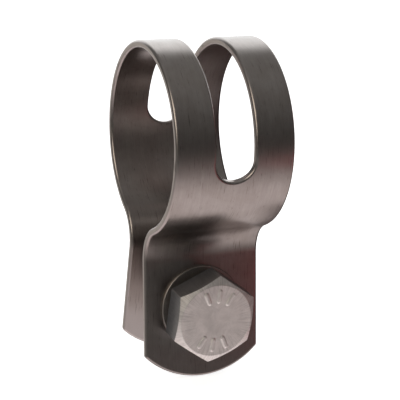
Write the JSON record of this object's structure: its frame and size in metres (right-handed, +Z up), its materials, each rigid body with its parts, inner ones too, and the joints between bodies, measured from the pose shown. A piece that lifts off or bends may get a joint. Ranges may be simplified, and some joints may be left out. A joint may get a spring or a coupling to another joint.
{
  "type": "strap loop clamp",
  "caption": "Slotted strap clamp: a bent strip forms a round loop over a tube or rope, and a hexagon bolt and nut draw its two legs together.",
  "frame": {"origin": "centre of the round loop, which is the axis of the tube or rope that it holds", "axes": "+X along the loop's axis, across the strip's width; +Z up, from the bolt towards the top of the loop; -Y is the bolt head's side and +Y the nut's side"},
  "size_m": [0.02, 0.0314, 0.0559],
  "materials": {
    "stainless_strap": "satin stainless steel, brushed along the strip, warm grey",
    "zinc_plated_bolt": "zinc-plated steel, dull silver grey",
    "zinc_plated_washer": "zinc-plated steel, dull silver grey",
    "zinc_plated_nut": "zinc-plated steel, dull silver grey"
  },
  "bodies": {
    "strap": {"strap": "stainless_strap"},
    "washer": {"washer": "zinc_plated_washer"},
    "bolt": {"hex_bolt": "zinc_plated_bolt"},
    "nut": {"hex_nut": "zinc_plated_nut"}
  },
  "joints": [
    {"name": "bolt_turn", "type": "hinge", "parent": "strap", "child": "bolt", "pos_m": [-0.0002, -0.00647, -0.02805], "axis": [0, -1, 0], "range_deg": [0, 1440]},
    {"name": "nut_travel", "type": "slide", "parent": "strap", "child": "nut", "axis": [0, 1, 0], "range_m": [0, 0.005]},
    {"name": "washer_spin", "type": "hinge", "parent": "strap", "child": "washer", "pos_m": [-0.0002, -0.00532, -0.02805], "axis": [0, -0.9903, 0.1392], "continuous": true}
  ],
  "couplings": [
    {"joint": "nut_travel", "follows": "bolt_turn", "m_per_rad": 0.00019894}
  ]
}
